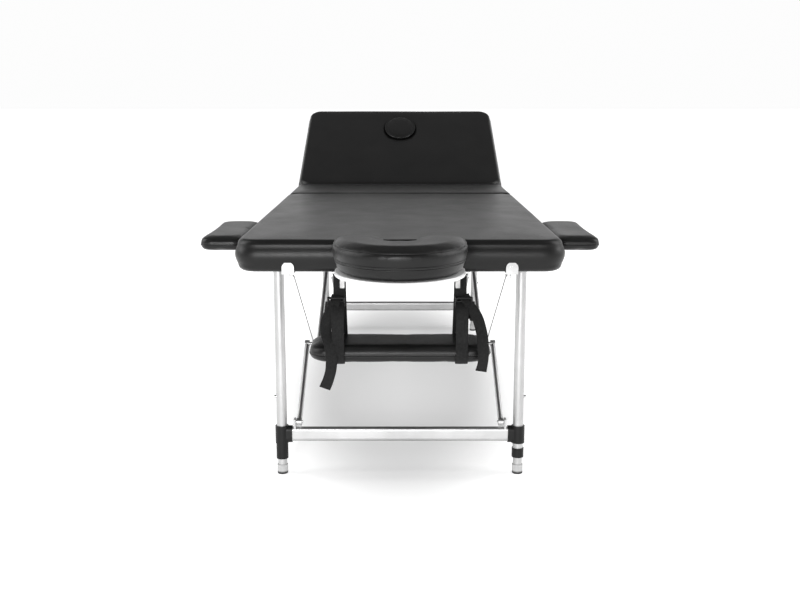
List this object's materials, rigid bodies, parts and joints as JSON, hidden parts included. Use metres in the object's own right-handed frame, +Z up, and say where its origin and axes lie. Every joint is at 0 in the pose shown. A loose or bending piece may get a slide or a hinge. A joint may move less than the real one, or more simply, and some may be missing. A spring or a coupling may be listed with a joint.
{
  "type": "portable massage table",
  "caption": "Folding padded massage table with raised backrest, splayed telescopic leg frames, face cradle, hanging arm shelf and side armrests.",
  "frame": {"origin": "centre of the bounding box at floor level", "axes": "+Z up, +Y along the table from the face cradle to the backrest, +X to the right seen from the cradle end"},
  "size_m": [0.93, 2.092, 0.843],
  "materials": {
    "leather": "soft grained synthetic leather, semi matt",
    "foam": "open cell foam",
    "plywood": "bare plywood",
    "webbing": "woven webbing",
    "black_plastic": "fine textured moulding",
    "rubber": "matt",
    "white_plastic": "smooth",
    "chrome": "polished",
    "zinc_steel": "zinc plated",
    "aluminium": "satin anodised"
  },
  "bodies": {
    "front_half": {"front_cover": "leather", "front_foam": "foam", "front_board": "plywood", "armrest_sockets": "zinc_steel", "cradle_sockets": "zinc_steel", "front_leg_clevises": "zinc_steel", "front_strut_brackets": "zinc_steel", "end_brackets": "chrome", "front_hinge_leaves": "zinc_steel"},
    "centre_link": {"centre_links": "zinc_steel"},
    "rear_half": {"mid_cover": "leather", "mid_foam": "foam", "mid_board": "plywood", "rear_frame": "aluminium", "rear_leg_clevises": "zinc_steel", "rear_strut_brackets": "zinc_steel", "rear_hinge_leaves": "zinc_steel", "backrest_hinge_fixed": "zinc_steel"},
    "backrest": {"back_cover": "leather", "back_foam": "foam", "back_board": "plywood", "backrest_hinge_moving": "zinc_steel"},
    "backrest_prop": {"backrest_prop": "zinc_steel"},
    "face_hole_plug": {"face_hole_plug": "leather"},
    "cradle_frame": {"cradle_frame": "chrome"},
    "cradle_platform": {"cradle_platform": "white_plastic", "cradle_cushion": "leather"},
    "left_cam_lever": {"left_cam_lever": "white_plastic"},
    "right_cam_lever": {"right_cam_lever": "white_plastic"},
    "arm_shelf": {"arm_shelf": "leather", "shelf_straps": "webbing", "strap_buckles": "black_plastic"},
    "left_armrest": {"left_armrest_pad": "leather", "left_armrest_posts": "chrome"},
    "right_armrest": {"right_armrest_pad": "leather", "right_armrest_posts": "chrome"},
    "front_leg_frame": {"front_outer_legs": "aluminium", "front_leg_joints": "black_plastic", "front_crossbar": "aluminium"},
    "front_lower_struts": {"front_lower_struts": "aluminium"},
    "front_upper_struts": {"front_upper_struts": "aluminium"},
    "front_stay_cables": {"front_stay_cables": "chrome"},
    "front_left_inner_leg": {"front_left_inner_leg": "aluminium", "front_left_foot": "rubber"},
    "front_left_snap_button": {"front_left_snap_button": "chrome"},
    "front_right_inner_leg": {"front_right_inner_leg": "aluminium", "front_right_foot": "rubber"},
    "front_right_snap_button": {"front_right_snap_button": "chrome"},
    "rear_leg_frame": {"rear_outer_legs": "aluminium", "rear_leg_joints": "black_plastic", "rear_crossbar": "aluminium"},
    "rear_lower_struts": {"rear_lower_struts": "aluminium"},
    "rear_upper_struts": {"rear_upper_struts": "aluminium"},
    "rear_stay_cables": {"rear_stay_cables": "chrome"},
    "rear_left_inner_leg": {"rear_left_inner_leg": "aluminium", "rear_left_foot": "rubber"},
    "rear_left_snap_button": {"rear_left_snap_button": "chrome"},
    "rear_right_inner_leg": {"rear_right_inner_leg": "aluminium", "rear_right_foot": "rubber"},
    "rear_right_snap_button": {"rear_right_snap_button": "chrome"}
  },
  "joints": [
    {"name": "centre_fold_front", "type": "hinge", "parent": "front_half", "child": "centre_link", "pos_m": [0, 0.13356, 0.5295], "axis": [-1, 0, 0], "range_deg": [0, 90]},
    {"name": "centre_fold_rear", "type": "hinge", "parent": "centre_link", "child": "rear_half", "pos_m": [0, 0.22156, 0.5295], "axis": [-1, 0, 0], "range_deg": [0, 90]},
    {"name": "backrest_fold", "type": "hinge", "parent": "rear_half", "child": "backrest", "pos_m": [0, 0.48556, 0.5985], "axis": [-1, 0, 0], "range_deg": [0, 25]},
    {"name": "prop_fold", "type": "hinge", "parent": "rear_half", "child": "backrest_prop", "pos_m": [0, 0.63556, 0.5275], "axis": [-1, 0, 0], "range_deg": [0, 60.5]},
    {"name": "plug_pull", "type": "slide", "parent": "backrest", "child": "face_hole_plug", "axis": [0, -0.4226, 0.9063], "range_m": [0, 0.08]},
    {"name": "front_leg_fold", "type": "hinge", "parent": "front_half", "child": "front_leg_frame", "pos_m": [0, -0.56044, 0.5195], "axis": [1, 0, 0], "range_deg": [0, 92.9]},
    {"name": "front_lower_strut_fold", "type": "hinge", "parent": "front_leg_frame", "child": "front_lower_struts", "pos_m": [0, -0.58027, 0.128], "axis": [1, 0, 0], "range_deg": [0, 57.09]},
    {"name": "front_upper_strut_fold", "type": "hinge", "parent": "front_half", "child": "front_upper_struts", "pos_m": [0, 0.14156, 0.5005], "axis": [1, 0, 0], "range_deg": [-26.06, 0]},
    {"name": "front_cable_fold", "type": "hinge", "parent": "front_half", "child": "front_stay_cables", "pos_m": [0, -0.77444, 0.5295], "axis": [1, 0, 0], "range_deg": [0, 32.23]},
    {"name": "front_left_leg_extend", "type": "slide", "parent": "front_leg_frame", "child": "front_left_inner_leg", "axis": [0, 0.0506, 0.9987], "range_m": [-0.2, 0]},
    {"name": "front_left_button_press", "type": "slide", "parent": "front_left_inner_leg", "child": "front_left_snap_button", "axis": [1, 0, 0], "range_m": [0, 0.004], "stiffness_N_per_m": 600},
    {"name": "front_right_leg_extend", "type": "slide", "parent": "front_leg_frame", "child": "front_right_inner_leg", "axis": [0, 0.0506, 0.9987], "range_m": [-0.2, 0]},
    {"name": "front_right_button_press", "type": "slide", "parent": "front_right_inner_leg", "child": "front_right_snap_button", "axis": [-1, 0, 0], "range_m": [0, 0.004], "stiffness_N_per_m": 600},
    {"name": "rear_leg_fold", "type": "hinge", "parent": "rear_half", "child": "rear_leg_frame", "pos_m": [0, 0.80906, 0.5195], "axis": [-1, 0, 0], "range_deg": [0, 92.9]},
    {"name": "rear_lower_strut_fold", "type": "hinge", "parent": "rear_leg_frame", "child": "rear_lower_struts", "pos_m": [0, 0.82889, 0.128], "axis": [-1, 0, 0], "range_deg": [0, 57.09]},
    {"name": "rear_upper_strut_fold", "type": "hinge", "parent": "rear_half", "child": "rear_upper_struts", "pos_m": [0, 0.20956, 0.5005], "axis": [-1, 0, 0], "range_deg": [-31.7, 0]},
    {"name": "rear_cable_fold", "type": "hinge", "parent": "rear_half", "child": "rear_stay_cables", "pos_m": [0, 1.02306, 0.5295], "axis": [-1, 0, 0], "range_deg": [0, 32.23]},
    {"name": "rear_left_leg_extend", "type": "slide", "parent": "rear_leg_frame", "child": "rear_left_inner_leg", "axis": [0, -0.0506, 0.9987], "range_m": [-0.2, 0]},
    {"name": "rear_left_button_press", "type": "slide", "parent": "rear_left_inner_leg", "child": "rear_left_snap_button", "axis": [1, 0, 0], "range_m": [0, 0.004], "stiffness_N_per_m": 600},
    {"name": "rear_right_leg_extend", "type": "slide", "parent": "rear_leg_frame", "child": "rear_right_inner_leg", "axis": [0, -0.0506, 0.9987], "range_m": [-0.2, 0]},
    {"name": "rear_right_button_press", "type": "slide", "parent": "rear_right_inner_leg", "child": "rear_right_snap_button", "axis": [-1, 0, 0], "range_m": [0, 0.004], "stiffness_N_per_m": 600},
    {"name": "cradle_pull", "type": "slide", "parent": "front_half", "child": "cradle_frame", "axis": [0, -1, 0], "range_m": [0, 0.06]},
    {"name": "cradle_tilt", "type": "hinge", "parent": "cradle_frame", "child": "cradle_platform", "pos_m": [0, -0.83444, 0.5555], "axis": [1, 0, 0], "range_deg": [-5, 20]},
    {"name": "left_cam_turn", "type": "hinge", "parent": "cradle_frame", "child": "left_cam_lever", "pos_m": [-0.118, -0.83444, 0.5555], "axis": [-1, 0, 0], "range_deg": [0, 45]},
    {"name": "left_armrest_pull", "type": "slide", "parent": "front_half", "child": "left_armrest", "axis": [-1, 0, 0], "range_m": [0, 0.08]},
    {"name": "right_cam_turn", "type": "hinge", "parent": "cradle_frame", "child": "right_cam_lever", "pos_m": [0.118, -0.83444, 0.5555], "axis": [-1, 0, 0], "range_deg": [0, 45]},
    {"name": "right_armrest_pull", "type": "slide", "parent": "front_half", "child": "right_armrest", "axis": [1, 0, 0], "range_m": [0, 0.08]},
    {"name": "shelf_swing", "type": "hinge", "parent": "front_half", "child": "arm_shelf", "pos_m": [0, -0.76844, 0.5275], "axis": [-1, 0, 0], "range_deg": [-10, 20]}
  ],
  "couplings": [
    {"joint": "prop_fold", "follows": "backrest_fold", "ratio": 2.4},
    {"joint": "front_lower_strut_fold", "follows": "front_leg_fold", "ratio": 0.61235},
    {"joint": "front_upper_strut_fold", "follows": "front_leg_fold", "ratio": -0.27836},
    {"joint": "front_cable_fold", "follows": "front_leg_fold", "ratio": 0.34477},
    {"joint": "rear_lower_strut_fold", "follows": "rear_leg_fold", "ratio": 0.61235},
    {"joint": "rear_upper_strut_fold", "follows": "rear_leg_fold", "ratio": -0.33912},
    {"joint": "rear_cable_fold", "follows": "rear_leg_fold", "ratio": 0.34477}
  ]
}
